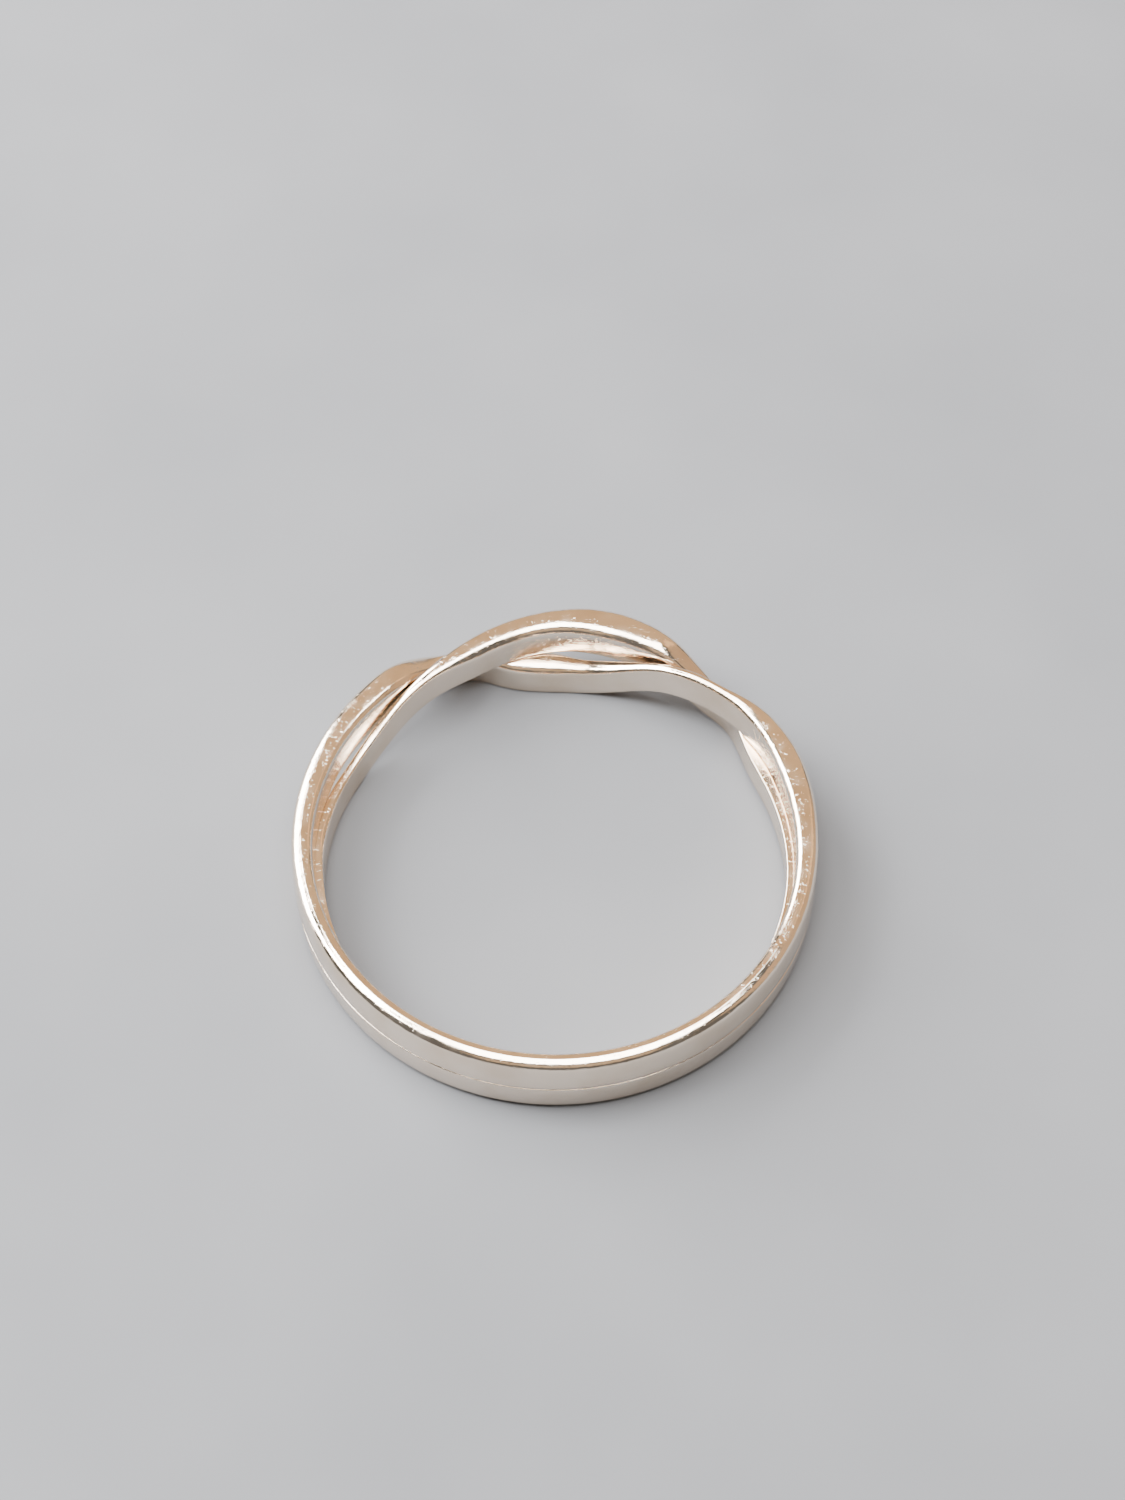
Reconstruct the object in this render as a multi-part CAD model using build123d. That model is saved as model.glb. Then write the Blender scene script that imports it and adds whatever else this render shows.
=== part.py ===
from build123d import *
import math
import os

# Two-band interlocked finger ring, in millimetres.
# The ring lies flat: +Z is the finger axis, z = 0 is the surface it rests on, and the
# origin is on the ring's axis. The plaited head is at +Y and the plain shank at -Y.
# Each band is one closed loop. Along the shank the upper band lies on the lower band.
# On the left flank the lower band rises inside the upper one, and beyond it the upper
# band dives outside. On the right flank they change back the same way. The two loops
# are therefore linked: they can swing apart but never separate.

# ---- driving dimensions ----
BAND_HEIGHT = 1.57       # along Z, one band
PARTING_GAP = 0.06       # between the bands where they are stacked
FACE_LEAN = 0.10         # the outer face curves in towards the ring's rims by this much
RIM_ROUNDING = 0.36      # outer edge of a rim, on the shank
INNER_ROUNDING = 0.28    # inner edge of a rim, on the shank
PARTING_ROUNDING = 0.04  # edges that meet along the shank
UNDER_ROUNDING = 0.08    # lower edges of the strands in the head
CROWN_ROUNDING = 0.45    # upper edges of the strands in the head, where the wall allows
CROWN_SHARE = 0.34       # and the most that it may take of a thin wall
SECTION_STEP = 3         # degrees between sections of the head

# ---- band walls: (degrees from +Y, positive towards +X; radius) ----
UPPER_INNER = [
    (-126, 9.73), (-86, 9.80), (-72, 9.86), (-60, 9.94), (-48, 9.99), (-40, 10.03),
    (-35, 10.14), (-30, 10.36), (-25, 10.67), (-21, 10.86), (-17, 10.50), (-13, 10.00),
    (-8, 9.68), (-1, 9.53), (8, 9.54), (24, 9.62), (32, 9.67), (40, 9.84), (50, 9.98),
    (60, 9.92), (72, 9.76), (86, 9.69), (126, 9.73),
]
UPPER_OUTER = [
    (-126, 10.55), (-104, 10.60), (-86, 10.74), (-70, 10.90), (-58, 11.04), (-46, 11.20),
    (-36, 11.40), (-28, 11.54), (-21, 11.52), (-14, 11.20), (-7, 11.02), (-1, 10.86),
    (5, 10.46), (8, 10.42), (14, 10.32), (20, 10.20), (28, 10.18), (36, 10.32),
    (43, 10.44), (49, 10.76), (56, 10.98), (64, 11.00), (76, 10.85), (88, 10.66),
    (104, 10.57), (126, 10.55),
]
LOWER_INNER = [
    (-126, 9.47), (-100, 9.44), (-80, 9.44), (-64, 9.46), (-48, 9.52), (-36, 9.58),
    (-28, 9.61), (-22, 9.70), (-14, 10.02), (-6, 10.36), (2, 10.53), (8, 10.50),
    (15, 10.39), (22, 10.28), (30, 10.31), (36, 10.43), (42, 10.49), (49, 10.08),
    (56, 9.64), (64, 9.46), (80, 9.41), (104, 9.43), (126, 9.47),
]
LOWER_OUTER = [
    (-126, 10.55), (-104, 10.60), (-90, 10.62), (-80, 10.38), (-70, 9.98), (-62, 9.87),
    (-48, 9.92), (-40, 9.96), (-35, 10.06), (-30, 10.25), (-25, 10.53), (-20, 10.86),
    (-14, 11.20), (-8, 11.50), (0, 11.82), (7, 11.98), (13, 11.95), (20, 11.72),
    (27, 11.46), (34, 11.24), (41, 11.07), (50, 10.98), (64, 10.97), (76, 10.85),
    (88, 10.66), (104, 10.57), (126, 10.55),
]

# ---- spans in degrees over which the bands change height or edge shape ----
LOWER_RISES = (-66, -23)
UPPER_DIVES = (-44, -19)
UPPER_RISES = (2, 38)
LOWER_DIVES = (20, 43)
LOWER_PARTS = (-100, -78)     # the bands part, so that all four edges of each are rounded
UPPER_PARTS = (-50, -32)
UPPER_MEETS = (44, 60)
LOWER_MEETS = (40, 56)

# ---- derived sizes ----
HEAD_END = UPPER_INNER[-1][0]
LOW_Z = BAND_HEIGHT / 2
HIGH_Z = LOW_Z + BAND_HEIGHT + PARTING_GAP


def ease(angle, span):
    """Smooth rise from 0 to 1 as angle crosses span."""
    t = (angle - span[0]) / (span[1] - span[0])
    t = min(max(t, 0.0), 1.0)
    return t * t * t * (t * (6 * t - 15) + 10)


def between(angle, begin, end):
    """0 outside, 1 between the two spans, smooth across each."""
    return ease(angle, begin) - ease(angle, end)


def mix(a, b, share):
    return a + (b - a) * share


def slope(wall, index):
    """Slope of the wall's curve at one of its points, flat at its peaks and hollows."""
    if index in (0, len(wall) - 1):
        return 0.0
    (a0, r0), (a1, r1), (a2, r2) = wall[index - 1:index + 2]
    before = (r1 - r0) / (a1 - a0)
    after = (r2 - r1) / (a2 - a1)
    if before * after <= 0:
        return 0.0
    return 2 * before * after / (before + after)


def on_wall(wall, angle):
    """Radius of a wall at an angle, by a smooth curve through its points."""
    if abs(angle) >= HEAD_END:
        return wall[0][1]
    index = max(i for i, point in enumerate(wall) if point[0] <= angle)
    (a0, r0), (a1, r1) = wall[index:index + 2]
    width = a1 - a0
    t = (angle - a0) / width
    blend = mix(r0, r1, t * t * (3 - 2 * t))
    start = slope(wall, index) * width * t * (1 - t) ** 2
    finish = slope(wall, index + 1) * width * t * t * (1 - t)
    return blend + start - finish


def roundings(rim, parting, parted):
    """Roundings of the outer rim, inner rim and parting edges, given those in the head."""
    return [
        mix(RIM_ROUNDING, rim, parted),
        mix(INNER_ROUNDING, rim, parted),
        mix(PARTING_ROUNDING, parting, parted),
    ]


def upper_station(angle):
    """Walls, mid height, roundings and the side of the rim, which is at the top."""
    inner = on_wall(UPPER_INNER, angle)
    outer = on_wall(UPPER_OUTER, angle)
    height = mix(HIGH_Z, LOW_Z, between(angle, UPPER_DIVES, UPPER_RISES))
    crown = min(CROWN_ROUNDING, CROWN_SHARE * (outer - inner))
    edges = roundings(crown, UNDER_ROUNDING, between(angle, UPPER_PARTS, UPPER_MEETS))
    return inner, outer, height, edges, 1


def lower_station(angle):
    """The same for the lower band, whose rim is at its foot."""
    inner = on_wall(LOWER_INNER, angle)
    outer = on_wall(LOWER_OUTER, angle)
    height = mix(LOW_Z, HIGH_Z, between(angle, LOWER_RISES, LOWER_DIVES))
    crown = min(CROWN_ROUNDING, CROWN_SHARE * (outer - inner))
    edges = roundings(UNDER_ROUNDING, crown, between(angle, LOWER_PARTS, LOWER_MEETS))
    return inner, outer, height, edges, -1


def section(angle, station):
    """Cross-section of a band at one angle: flat inner wall, curved outer face."""
    inner, outer, height, (rim_edge, inner_edge, parting_edge), rim_side = station(angle)
    bearing = math.radians(angle)
    outward = Vector(math.sin(bearing), math.cos(bearing), 0)
    along = outward.cross(Vector(0, 0, 1))

    half = BAND_HEIGHT / 2
    rim = half * rim_side
    outline = [
        Line((inner, -rim), (outer, -rim)),
        ThreePointArc((outer, -rim), (outer - FACE_LEAN / 4, 0), (outer - FACE_LEAN, rim)),
        Line((outer - FACE_LEAN, rim), (inner, rim)),
        Line((inner, rim), (inner, -rim)),
    ]
    face = make_face(outline)
    for edge, level, outside in (
        (rim_edge, rim, True),
        (inner_edge, rim, False),
        (parting_edge, -rim, True),
        (parting_edge, -rim, False),
    ):
        corners = [v for v in face.vertices() if abs(v.Y - level) < 0.001]
        corners.sort(key=lambda v: v.X, reverse=outside)
        face = fillet(corners[:1], edge)
    return Plane(origin=(0, 0, height), x_dir=outward, z_dir=along) * face


def band(station):
    """One closed band: a revolved shank fused to a lofted head."""
    angles = range(-HEAD_END, HEAD_END + 1, SECTION_STEP)
    head = loft([section(angle, station) for angle in angles])
    shank = revolve(section(HEAD_END, station), Axis.Z, revolution_arc=2 * HEAD_END - 360)
    return head + shank


os.makedirs("parts", exist_ok=True)
export_step(band(upper_station), "parts/upper_band.step")
export_step(band(lower_station), "parts/lower_band.step")
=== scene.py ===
import math

import bpy
from mathutils import Matrix, Vector


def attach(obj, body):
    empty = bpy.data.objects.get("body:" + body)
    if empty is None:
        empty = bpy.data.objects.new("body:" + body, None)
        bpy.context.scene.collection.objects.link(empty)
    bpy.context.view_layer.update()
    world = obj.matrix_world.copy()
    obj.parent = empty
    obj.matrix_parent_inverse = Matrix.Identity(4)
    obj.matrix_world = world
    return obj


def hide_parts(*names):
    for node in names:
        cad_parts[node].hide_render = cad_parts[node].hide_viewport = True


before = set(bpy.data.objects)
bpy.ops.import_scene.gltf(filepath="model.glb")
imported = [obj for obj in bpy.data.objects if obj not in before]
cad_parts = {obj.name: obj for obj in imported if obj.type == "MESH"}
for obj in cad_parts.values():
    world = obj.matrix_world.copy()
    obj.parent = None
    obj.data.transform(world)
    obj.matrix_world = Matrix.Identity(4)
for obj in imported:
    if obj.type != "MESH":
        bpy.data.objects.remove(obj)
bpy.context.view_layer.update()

MM = 0.001

# ---------------------------------------------------------------- band shape
# The same driving sizes as the CAD bands, in millimetres and degrees. Angles run from
# +Y, the middle of the head, positive towards +X.
BAND_HEIGHT = 1.57       # along Z, one band
PARTING_GAP = 0.06       # between the bands where they are stacked
FACE_LEAN = 0.10         # the outer face curves in towards the ring's rims by this much
RIM_ROUNDING = 0.36      # outer edge of a rim, on the shank
INNER_ROUNDING = 0.28    # inner edge of a rim, on the shank
PARTING_ROUNDING = 0.04  # edges that meet along the shank
UNDER_ROUNDING = 0.08    # lower edges of the strands in the head
CROWN_ROUNDING = 0.45    # upper edges of the strands in the head, where the wall allows
CROWN_SHARE = 0.34       # and the most that it may take of a thin wall

# ---- band walls: (degrees from +Y, positive towards +X; radius) ----
UPPER_INNER = [
    (-126, 9.73), (-86, 9.80), (-72, 9.86), (-60, 9.94), (-48, 9.99), (-40, 10.03),
    (-35, 10.14), (-30, 10.36), (-25, 10.67), (-21, 10.86), (-17, 10.50), (-13, 10.00),
    (-8, 9.68), (-1, 9.53), (8, 9.54), (24, 9.62), (32, 9.67), (40, 9.84), (50, 9.98),
    (60, 9.92), (72, 9.76), (86, 9.69), (126, 9.73),
]
UPPER_OUTER = [
    (-126, 10.55), (-104, 10.60), (-86, 10.74), (-70, 10.90), (-58, 11.04), (-46, 11.20),
    (-36, 11.40), (-28, 11.54), (-21, 11.52), (-14, 11.20), (-7, 11.02), (-1, 10.86),
    (5, 10.46), (8, 10.42), (14, 10.32), (20, 10.20), (28, 10.18), (36, 10.32),
    (43, 10.44), (49, 10.76), (56, 10.98), (64, 11.00), (76, 10.85), (88, 10.66),
    (104, 10.57), (126, 10.55),
]
LOWER_INNER = [
    (-126, 9.47), (-100, 9.44), (-80, 9.44), (-64, 9.46), (-48, 9.52), (-36, 9.58),
    (-28, 9.61), (-22, 9.70), (-14, 10.02), (-6, 10.36), (2, 10.53), (8, 10.50),
    (15, 10.39), (22, 10.28), (30, 10.31), (36, 10.43), (42, 10.49), (49, 10.08),
    (56, 9.64), (64, 9.46), (80, 9.41), (104, 9.43), (126, 9.47),
]
LOWER_OUTER = [
    (-126, 10.55), (-104, 10.60), (-90, 10.62), (-80, 10.38), (-70, 9.98), (-62, 9.87),
    (-48, 9.92), (-40, 9.96), (-35, 10.06), (-30, 10.25), (-25, 10.53), (-20, 10.86),
    (-14, 11.20), (-8, 11.50), (0, 11.82), (7, 11.98), (13, 11.95), (20, 11.72),
    (27, 11.46), (34, 11.24), (41, 11.07), (50, 10.98), (64, 10.97), (76, 10.85),
    (88, 10.66), (104, 10.57), (126, 10.55),
]

# ---- spans in degrees over which the bands change height or edge shape ----
LOWER_RISES = (-66, -23)
UPPER_DIVES = (-44, -19)
UPPER_RISES = (2, 38)
LOWER_DIVES = (20, 43)
LOWER_PARTS = (-100, -78)     # the bands part, so that all four edges of each are rounded
UPPER_PARTS = (-50, -32)
UPPER_MEETS = (44, 60)
LOWER_MEETS = (40, 56)

# ---- derived sizes ----
HEAD_END = UPPER_INNER[-1][0]
LOW_Z = BAND_HEIGHT / 2
HIGH_Z = LOW_Z + BAND_HEIGHT + PARTING_GAP
MOST_OPENED = CROWN_ROUNDING - PARTING_ROUNDING

# ---------------------------------------------------------------- mesh fineness
STATIONS = 720           # sections around a band
CORNER_STEPS = 6         # steps around each rounded edge
FACE_STEPS = 7           # steps across each face between two edges
SOFTENING = 2.5          # degrees either side over which walls and heights are averaged
RIM_CROWN = 0.015        # how far the middle of a rim stands proud of its edges

# ---------------------------------------------------------------- camera
FRAME_HEIGHT = 1500      # pixels
FOCAL_PIXELS = 2637      # focal length, in the same pixels
SENSOR_HEIGHT = 24.0     # millimetres, as Blender counts it
CAMERA_TILT = math.radians(35)      # off straight down
CAMERA_ROLL = 0.006      # radians
CAMERA_DISTANCE = 108.6 * MM
CAMERA_CLIP = 1 * MM
AIM_RIGHT = 0.29 * MM    # how far right of the origin the view's middle passes
AIM_UP = 5.34 * MM       # and how far above it

# ---------------------------------------------------------------- metal and floor
UPPER_TINT = (0.92, 0.785, 0.645)
LOWER_TINT = (0.91, 0.775, 0.64)
TARNISH_SHARE = (0.88, 0.84, 0.79)  # how much of each colour the darkest tarnish keeps
POLISHED = 0.05          # roughness
DULLED = 0.24
CLOUDS = 500             # noise scales, in cycles per metre
POLISH_PATCHES = 1600
WAVES = 260
HAIRLINES = 2600
PITS = 7000
MOTTLE = 60
ALONG_THE_BAND = (1, 1, 7)          # flattens noise along Z, so scratches run round the ring
WAVE_DEPTH = 0.05 * MM
HAIRLINE_DEPTH = 0.012 * MM
PIT_DEPTH = 0.015 * MM
FLOOR_DARK = (0.115, 0.12, 0.13)
FLOOR_LIGHT = (0.135, 0.14, 0.15)
FLOOR_ROUGHNESS = 0.85
FLOOR_REACH = 0.6        # metres from the middle to each side
FLOOR_LEVEL = -0.02 * MM            # just under the crown of the rim that the ring rests on

# ---------------------------------------------------------------- light
WORLD_COLOUR = (0.80, 0.79, 0.78, 1)
WORLD_STRENGTH = 0.20
NEAR_WHITE = (1.0, 0.99, 0.98)
# name: place in metres, width and height, power in watts, colour
SOFTBOXES = {
    "window_left": ((-0.26, 0.16, 0.17), (0.30, 0.26), 6.4, NEAR_WHITE),
    "window_high_left": ((-0.20, 0.02, 0.27), (0.14, 0.18), 2.2, NEAR_WHITE),
    "window_above": ((0.01, 0.00, 0.34), (0.26, 0.25), 3.4, (1.0, 0.99, 0.97)),
    "warm_back": ((0.06, 0.275, 0.20), (0.44, 0.42), 0.46, (1.0, 0.61, 0.27)),
    "warm_right": ((0.30, 0.06, 0.14), (0.36, 0.36), 0.26, (1.0, 0.60, 0.28)),
    "warm_front": ((0.02, -0.26, 0.24), (0.36, 0.16), 0.12, (1.0, 0.68, 0.38)),
}


def ease(angle, span):
    """Smooth rise from 0 to 1 as angle crosses span."""
    t = (angle - span[0]) / (span[1] - span[0])
    t = min(max(t, 0.0), 1.0)
    return t * t * t * (t * (6 * t - 15) + 10)


def between(angle, begin, end):
    """0 outside, 1 between the two spans, smooth across each."""
    return ease(angle, begin) - ease(angle, end)


def mix(a, b, share):
    return a + (b - a) * share


def slope(wall, index):
    """Slope of the wall's curve at one of its points, flat at its peaks and hollows."""
    if index in (0, len(wall) - 1):
        return 0.0
    (a0, r0), (a1, r1), (a2, r2) = wall[index - 1:index + 2]
    before = (r1 - r0) / (a1 - a0)
    after = (r2 - r1) / (a2 - a1)
    if before * after <= 0:
        return 0.0
    return 2 * before * after / (before + after)


def on_wall(wall, angle):
    """Radius of a wall at an angle, by a smooth curve through its points."""
    if abs(angle) >= HEAD_END:
        return wall[0][1]
    index = max(i for i, point in enumerate(wall) if point[0] <= angle)
    (a0, r0), (a1, r1) = wall[index:index + 2]
    width = a1 - a0
    t = (angle - a0) / width
    blend = mix(r0, r1, t * t * (3 - 2 * t))
    start = slope(wall, index) * width * t * (1 - t) ** 2
    finish = slope(wall, index + 1) * width * t * t * (1 - t)
    return blend + start - finish


def roundings(rim, parting, parted):
    """Roundings of the outer rim, inner rim and parting edges, given those in the head."""
    return [
        mix(RIM_ROUNDING, rim, parted),
        mix(INNER_ROUNDING, rim, parted),
        mix(PARTING_ROUNDING, parting, parted),
    ]


def upper_station(angle):
    """Walls, mid height, roundings and the side of the rim, which is at the top."""
    inner = on_wall(UPPER_INNER, angle)
    outer = on_wall(UPPER_OUTER, angle)
    height = mix(HIGH_Z, LOW_Z, between(angle, UPPER_DIVES, UPPER_RISES))
    crown = min(CROWN_ROUNDING, CROWN_SHARE * (outer - inner))
    edges = roundings(crown, UNDER_ROUNDING, between(angle, UPPER_PARTS, UPPER_MEETS))
    return inner, outer, height, edges, 1


def lower_station(angle):
    """The same for the lower band, whose rim is at its foot."""
    inner = on_wall(LOWER_INNER, angle)
    outer = on_wall(LOWER_OUTER, angle)
    height = mix(LOW_Z, HIGH_Z, between(angle, LOWER_RISES, LOWER_DIVES))
    crown = min(CROWN_ROUNDING, CROWN_SHARE * (outer - inner))
    edges = roundings(UNDER_ROUNDING, crown, between(angle, LOWER_PARTS, LOWER_MEETS))
    return inner, outer, height, edges, -1


def softened(station, angle):
    """A station averaged with its near neighbours, so the walls have no creases."""
    near = [station(angle + step) for step in (-SOFTENING, 0, 0, SOFTENING)]
    inner, outer, height = (sum(values) / len(near) for values in list(zip(*near))[:3])
    rounding, rim_side = near[1][3:]
    return inner, outer, height, rounding, rim_side


def corner(centre, radius, start, finish):
    """Points of a rounded corner, anticlockwise, in (radius, height)."""
    points = []
    for step in range(CORNER_STEPS + 1):
        turn = math.radians(mix(start, finish, step / CORNER_STEPS))
        out = centre[0] + radius * math.cos(turn)
        up = centre[1] + radius * math.sin(turn)
        points.append((out, up))
    return points


def run(a, b, bulge=(0.0, 0.0)):
    """Points strictly between a and b, bowed by bulge at the middle."""
    points = []
    for step in range(1, FACE_STEPS):
        t = step / FACE_STEPS
        bow = 4 * t * (1 - t)
        out = mix(a[0], b[0], t) + bow * bulge[0]
        up = mix(a[1], b[1], t) + bow * bulge[1]
        points.append((out, up))
    return points


def profile(inner, outer, rounding, rim_side):
    """Closed outline of a band's section: flat inner wall, curved outer face, crowned rim.

    The parting side is crowned too, as far as its edges are rounded more than on the shank.
    """
    rim_edge, inner_edge, parting_edge = rounding
    half = BAND_HEIGHT / 2
    climb = (2 * half - rim_edge) / (2 * half)
    lean = math.degrees(math.atan(FACE_LEAN * climb / half))
    face = outer - FACE_LEAN * climb ** 2
    rim_centre = (face - rim_edge * math.cos(math.radians(lean)), half - rim_edge)
    parting_out = corner((outer - parting_edge, parting_edge - half), parting_edge, 270, 360)
    rim_out = corner(rim_centre, rim_edge, lean, 90)
    rim_in = corner((inner + inner_edge, half - inner_edge), inner_edge, 90, 180)
    parting_in = corner((inner + parting_edge, parting_edge - half), parting_edge, 180, 270)

    face_bulge = FACE_LEAN / 4 * climb ** 2
    parting_bulge = RIM_CROWN * (parting_edge - PARTING_ROUNDING) / MOST_OPENED
    outline = parting_out + run(parting_out[-1], rim_out[0], (face_bulge, 0))
    outline += rim_out + run(rim_out[-1], rim_in[0], (0, RIM_CROWN))
    outline += rim_in + run(rim_in[-1], parting_in[0])
    outline += parting_in + run(parting_in[-1], parting_out[0], (0, -parting_bulge))
    if rim_side < 0:
        outline = [(out, -up) for out, up in reversed(outline)]
    return outline


def build_band(name, station):
    """A closed, smooth ring of quads through the band's sections."""
    vertices = []
    for index in range(STATIONS):
        angle = -180 + 360 * index / STATIONS
        inner, outer, height, rounding, rim_side = softened(station, angle)
        bearing = math.radians(angle)
        for out, up in profile(inner, outer, rounding, rim_side):
            x = out * MM * math.sin(bearing)
            y = out * MM * math.cos(bearing)
            vertices.append((x, y, (height + up) * MM))

    around = len(vertices) // STATIONS
    faces = []
    for index in range(STATIONS):
        here = index * around
        there = ((index + 1) % STATIONS) * around
        for point in range(around):
            after = (point + 1) % around
            faces.append((here + point, here + after, there + after, there + point))

    mesh = bpy.data.meshes.new(name)
    mesh.from_pydata(vertices, [], faces)
    mesh.update()
    mesh.polygons.foreach_set("use_smooth", [True] * len(mesh.polygons))
    piece = bpy.data.objects.new(name, mesh)
    bpy.context.scene.collection.objects.link(piece)
    return piece


# ---------------------------------------------------------------- materials
def link(tree, source, output, target, entry):
    """Join one node's output to another node's input."""
    tree.links.new(source.outputs[output], target.inputs[entry])


def noise_node(tree, coords, scale, detail, stretch=(1, 1, 1)):
    """Noise in the object's own coordinates, which stretch multiplies."""
    mapping = tree.nodes.new("ShaderNodeMapping")
    mapping.inputs["Scale"].default_value = stretch
    link(tree, coords, "Object", mapping, "Vector")
    texture = tree.nodes.new("ShaderNodeTexNoise")
    texture.inputs["Scale"].default_value = scale
    texture.inputs["Detail"].default_value = detail
    link(tree, mapping, "Vector", texture, "Vector")
    return texture


def ramp_node(tree, source, low, high, low_colour, high_colour):
    """Colours from low_colour to high_colour as the noise goes from low to high."""
    ramp = tree.nodes.new("ShaderNodeValToRGB")
    ramp.color_ramp.elements[0].position = low
    ramp.color_ramp.elements[1].position = high
    ramp.color_ramp.elements[0].color = (*low_colour, 1)
    ramp.color_ramp.elements[1].color = (*high_colour, 1)
    link(tree, source, "Fac", ramp, "Fac")
    return ramp


def bump_node(tree, height, output, strength, depth, under=None):
    """Bumps from a node's output, on top of the bumps of another node if given."""
    bump = tree.nodes.new("ShaderNodeBump")
    bump.inputs["Strength"].default_value = strength
    bump.inputs["Distance"].default_value = depth
    link(tree, height, output, bump, "Height")
    if under:
        link(tree, under, "Normal", bump, "Normal")
    return bump


def silver_material(name, tint):
    """Polished silver: patchy tarnish, uneven polish, hairline scratches and fine pits."""
    material = bpy.data.materials.new(name)
    material.use_nodes = True
    tree = material.node_tree
    shader = tree.nodes["Principled BSDF"]
    shader.inputs["Metallic"].default_value = 1.0
    coords = tree.nodes.new("ShaderNodeTexCoord")

    cloudy = noise_node(tree, coords, CLOUDS, 5)
    stained = tuple(part * share for part, share in zip(tint, TARNISH_SHARE))
    tarnish = ramp_node(tree, cloudy, 0.42, 0.72, tint, stained)
    link(tree, tarnish, "Color", shader, "Base Color")

    polish = noise_node(tree, coords, POLISH_PATCHES, 7)
    dull = ramp_node(tree, polish, 0.38, 0.75, (POLISHED,) * 3, (DULLED,) * 3)
    link(tree, dull, "Color", shader, "Roughness")

    waves = noise_node(tree, coords, WAVES, 2)
    hairlines = noise_node(tree, coords, HAIRLINES, 8, ALONG_THE_BAND)
    pits = noise_node(tree, coords, PITS, 4)
    hollows = ramp_node(tree, pits, 0.62, 0.80, (1, 1, 1), (0, 0, 0))
    pitted = bump_node(tree, hollows, "Color", 0.5, PIT_DEPTH)
    scratched = bump_node(tree, hairlines, "Fac", 0.6, HAIRLINE_DEPTH, pitted)
    wavy = bump_node(tree, waves, "Fac", 0.6, WAVE_DEPTH, scratched)
    link(tree, wavy, "Normal", shader, "Normal")
    return material


def floor_material():
    """Plain pale matte surface with a barely visible mottle."""
    material = bpy.data.materials.new("pale_floor")
    material.use_nodes = True
    tree = material.node_tree
    shader = tree.nodes["Principled BSDF"]
    shader.inputs["Roughness"].default_value = FLOOR_ROUGHNESS
    coords = tree.nodes.new("ShaderNodeTexCoord")
    mottle = noise_node(tree, coords, MOTTLE, 3)
    shade = ramp_node(tree, mottle, 0.3, 0.7, FLOOR_DARK, FLOOR_LIGHT)
    link(tree, shade, "Color", shader, "Base Color")
    return material


# ---------------------------------------------------------------- the object
def add_band(name, station, node, body, material):
    """A band's finer mesh, on its body and in place of its CAD node."""
    piece = build_band(name, station)
    piece.data.materials.append(material)
    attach(piece, body)
    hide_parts(node)


upper_silver = silver_material("silver_upper", UPPER_TINT)
lower_silver = silver_material("silver_lower", LOWER_TINT)
add_band(
    "upper_band_polished", upper_station,
    "upper_band", "upper_band", upper_silver,
)
add_band(
    "lower_band_polished", lower_station,
    "lower_band", "lower_band", lower_silver,
)


# ---------------------------------------------------------------- stage, light, camera
def add_floor():
    mesh = bpy.data.meshes.new("floor")
    turns = ((-1, -1), (1, -1), (1, 1), (-1, 1))
    corners = [(x * FLOOR_REACH, y * FLOOR_REACH, FLOOR_LEVEL) for x, y in turns]
    mesh.from_pydata(corners, [], [(0, 1, 2, 3)])
    floor = bpy.data.objects.new("floor", mesh)
    floor.data.materials.append(floor_material())
    bpy.context.scene.collection.objects.link(floor)


def add_softbox(name, place, size, power, colour):
    """A rectangular light that faces the origin."""
    light = bpy.data.lights.new(name, "AREA")
    light.shape = "RECTANGLE"
    light.size = size[0]
    light.size_y = size[1]
    light.energy = power
    light.color = colour
    lamp = bpy.data.objects.new(name, light)
    lamp.location = place
    lamp.rotation_euler = (-Vector(place)).to_track_quat("-Z", "Y").to_euler()
    bpy.context.scene.collection.objects.link(lamp)


def add_camera():
    """Camera at the photo's angle, without shift."""
    data = bpy.data.cameras.new("camera")
    data.sensor_fit = "VERTICAL"
    data.sensor_height = SENSOR_HEIGHT
    data.lens = SENSOR_HEIGHT * FOCAL_PIXELS / FRAME_HEIGHT
    data.clip_start = CAMERA_CLIP
    camera = bpy.data.objects.new("camera", data)
    back = Vector((0, -math.sin(CAMERA_TILT), math.cos(CAMERA_TILT)))
    flat_up = Vector((0, math.cos(CAMERA_TILT), math.sin(CAMERA_TILT)))
    flat_right = Vector((1, 0, 0))
    right = math.cos(CAMERA_ROLL) * flat_right + math.sin(CAMERA_ROLL) * flat_up
    up = math.cos(CAMERA_ROLL) * flat_up - math.sin(CAMERA_ROLL) * flat_right
    place = CAMERA_DISTANCE * back + AIM_RIGHT * right + AIM_UP * up
    turn = Matrix((right, up, back)).transposed().to_4x4()
    camera.matrix_world = Matrix.Translation(place) @ turn
    bpy.context.scene.collection.objects.link(camera)
    bpy.context.scene.camera = camera


def add_world():
    world = bpy.data.worlds.new("studio")
    world.use_nodes = True
    background = world.node_tree.nodes["Background"]
    background.inputs["Color"].default_value = WORLD_COLOUR
    background.inputs["Strength"].default_value = WORLD_STRENGTH
    bpy.context.scene.world = world


add_floor()
add_world()
for name, (place, size, power, colour) in SOFTBOXES.items():
    add_softbox(name, place, size, power, colour)
add_camera()
